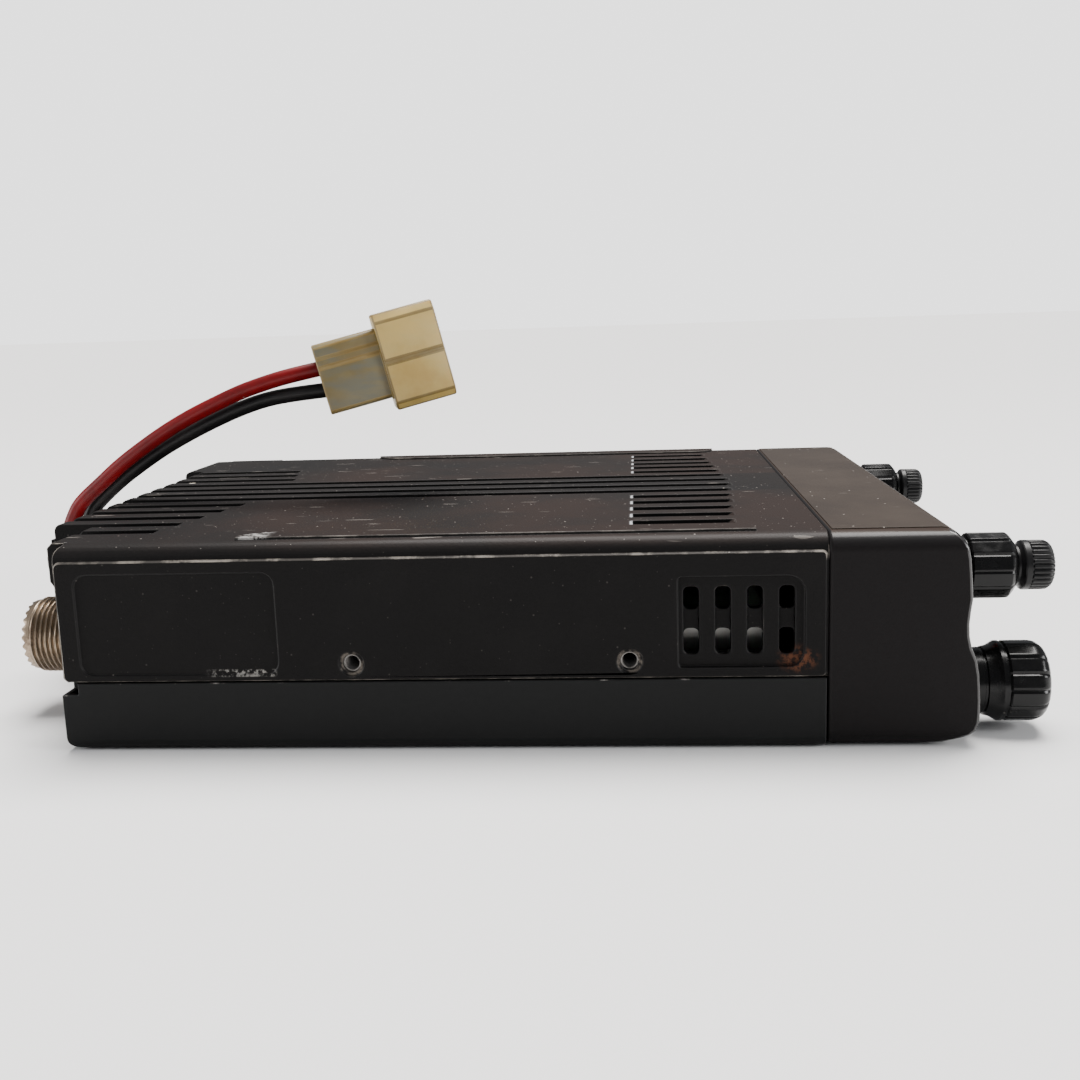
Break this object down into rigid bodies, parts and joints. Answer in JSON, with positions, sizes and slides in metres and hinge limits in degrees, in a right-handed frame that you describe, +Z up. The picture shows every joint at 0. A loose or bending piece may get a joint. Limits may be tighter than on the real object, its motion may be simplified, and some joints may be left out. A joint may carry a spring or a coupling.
{
  "type": "mobile transceiver",
  "caption": "Mobile radio with a finned die-cast case, sheet-steel bottom, plastic front unit with knobs and keys, threaded antenna socket and a short power lead.",
  "frame": {"origin": "on the floor below the middle of the set, measured without the power lead", "axes": "+Z up, front panel faces -Y, antenna socket points along +Y, +X is to the right for a user who faces the panel"},
  "size_m": [0.14, 0.2118, 0.0833],
  "materials": {
    "cast_black": "die casting under fine-textured satin black paint, chipped and dusty",
    "steel_black": "satin black painted sheet steel",
    "screw_black": "blackened screws",
    "front_black": "satin black moulded plastic with rubbed edges",
    "top_brown": "worn brownish black top of the front unit",
    "window": "smoked acrylic window",
    "lcd": "liquid crystal panel in a light guide",
    "circuit_board": "green glass epoxy board",
    "inner_black": "black plastic",
    "switch_plastic": "light switch bodies",
    "plain_metal": "zinc plated steel",
    "module_black": "moulded power module",
    "tinned": "tinned shield",
    "magnet": "ferrite magnet",
    "paper": "treated paper cone",
    "cloth": "dust cloth",
    "old_nickel": "tarnished nickel over brass",
    "insulator": "off-white insulator",
    "contact_brass": "brass contact",
    "jack_black": "black socket body",
    "grommet": "soft black grommet",
    "wire_red": "red vinyl insulation",
    "wire_black": "black vinyl insulation",
    "nylon_grey": "aged translucent nylon, greyish",
    "nylon_yellow": "aged translucent nylon, yellowed",
    "button_red": "dull red button",
    "key_black": "satin black key",
    "knob_gloss": "glossy black moulded knob",
    "shaft_steel": "turned shaft"
  },
  "bodies": {
    "radio": {"chassis_casting": "cast_black", "bottom_cover": "steel_black", "cover_screws": "screw_black", "front_bezel": "front_black", "top_plate": "top_brown", "display_window": "window", "lcd_module": "lcd", "front_board": "circuit_board", "front_backplate": "inner_black", "key_switches": "switch_plastic", "mic_jack": "inner_black", "encoder_left": "plain_metal", "encoder_right": "plain_metal", "dual_pot_left": "plain_metal", "dual_pot_right": "plain_metal", "main_board": "circuit_board", "board_screws": "plain_metal", "power_module": "module_black", "shield_front": "tinned", "shield_rear": "tinned", "speaker_basket": "plain_metal", "speaker_magnet": "magnet", "speaker_cone": "paper", "speaker_cloth": "cloth", "antenna_shell": "old_nickel", "antenna_insulator": "insulator", "antenna_contact": "contact_brass", "antenna_nut": "old_nickel", "speaker_jack_a": "jack_black", "speaker_jack_b": "jack_black", "dc_grommet": "grommet", "dc_wire_red": "wire_red", "dc_wire_black": "wire_black", "dc_connector_rear": "nylon_grey", "dc_connector_front": "nylon_yellow", "dc_terminals": "contact_brass"},
    "tuning_left": {"tuning_knob_left": "knob_gloss", "tuning_shaft_left": "shaft_steel"},
    "tuning_right": {"tuning_knob_right": "knob_gloss", "tuning_shaft_right": "shaft_steel"},
    "squelch_left": {"squelch_ring_left": "knob_gloss", "squelch_sleeve_left": "shaft_steel"},
    "squelch_right": {"squelch_ring_right": "knob_gloss", "squelch_sleeve_right": "shaft_steel"},
    "volume_left": {"volume_knob_left": "knob_gloss", "volume_shaft_left": "shaft_steel"},
    "volume_right": {"volume_knob_right": "knob_gloss", "volume_shaft_right": "shaft_steel"},
    "power_button": {"power_button": "button_red"},
    "band_button": {"band_button": "key_black"},
    "key_1": {"key_1": "key_black"},
    "key_2": {"key_2": "key_black"},
    "key_3": {"key_3": "key_black"},
    "key_4": {"key_4": "key_black"},
    "key_5": {"key_5": "key_black"},
    "key_6": {"key_6": "key_black"}
  },
  "joints": [
    {"name": "tuning_left_spin", "type": "hinge", "parent": "radio", "child": "tuning_left", "pos_m": [-0.058, -0.0892, 0.00875], "axis": [0, 1, 0], "continuous": true},
    {"name": "squelch_left_turn", "type": "hinge", "parent": "radio", "child": "squelch_left", "pos_m": [-0.0534, -0.0892, 0.0298], "axis": [0, 1, 0], "range_deg": [-150, 150]},
    {"name": "volume_left_turn", "type": "hinge", "parent": "radio", "child": "volume_left", "pos_m": [-0.0534, -0.0992, 0.0298], "axis": [0, 1, 0], "range_deg": [-150, 150]},
    {"name": "tuning_right_spin", "type": "hinge", "parent": "radio", "child": "tuning_right", "pos_m": [0.058, -0.0892, 0.00875], "axis": [0, 1, 0], "continuous": true},
    {"name": "squelch_right_turn", "type": "hinge", "parent": "radio", "child": "squelch_right", "pos_m": [0.0534, -0.0892, 0.0298], "axis": [0, 1, 0], "range_deg": [-150, 150]},
    {"name": "volume_right_turn", "type": "hinge", "parent": "radio", "child": "volume_right", "pos_m": [0.0534, -0.0992, 0.0298], "axis": [0, 1, 0], "range_deg": [-150, 150]},
    {"name": "power_button_press", "type": "slide", "parent": "radio", "child": "power_button", "axis": [0, 1, 0], "range_m": [0, 0.0008], "stiffness_N_per_m": 400, "springref_m": -0.0003},
    {"name": "band_button_press", "type": "slide", "parent": "radio", "child": "band_button", "axis": [0, 1, 0], "range_m": [0, 0.0008], "stiffness_N_per_m": 400, "springref_m": -0.0003},
    {"name": "key_1_press", "type": "slide", "parent": "radio", "child": "key_1", "axis": [0, 1, 0], "range_m": [0, 0.0008], "stiffness_N_per_m": 400, "springref_m": -0.0003},
    {"name": "key_2_press", "type": "slide", "parent": "radio", "child": "key_2", "axis": [0, 1, 0], "range_m": [0, 0.0008], "stiffness_N_per_m": 400, "springref_m": -0.0003},
    {"name": "key_3_press", "type": "slide", "parent": "radio", "child": "key_3", "axis": [0, 1, 0], "range_m": [0, 0.0008], "stiffness_N_per_m": 400, "springref_m": -0.0003},
    {"name": "key_4_press", "type": "slide", "parent": "radio", "child": "key_4", "axis": [0, 1, 0], "range_m": [0, 0.0008], "stiffness_N_per_m": 400, "springref_m": -0.0003},
    {"name": "key_5_press", "type": "slide", "parent": "radio", "child": "key_5", "axis": [0, 1, 0], "range_m": [0, 0.0008], "stiffness_N_per_m": 400, "springref_m": -0.0003},
    {"name": "key_6_press", "type": "slide", "parent": "radio", "child": "key_6", "axis": [0, 1, 0], "range_m": [0, 0.0008], "stiffness_N_per_m": 400, "springref_m": -0.0003}
  ]
}
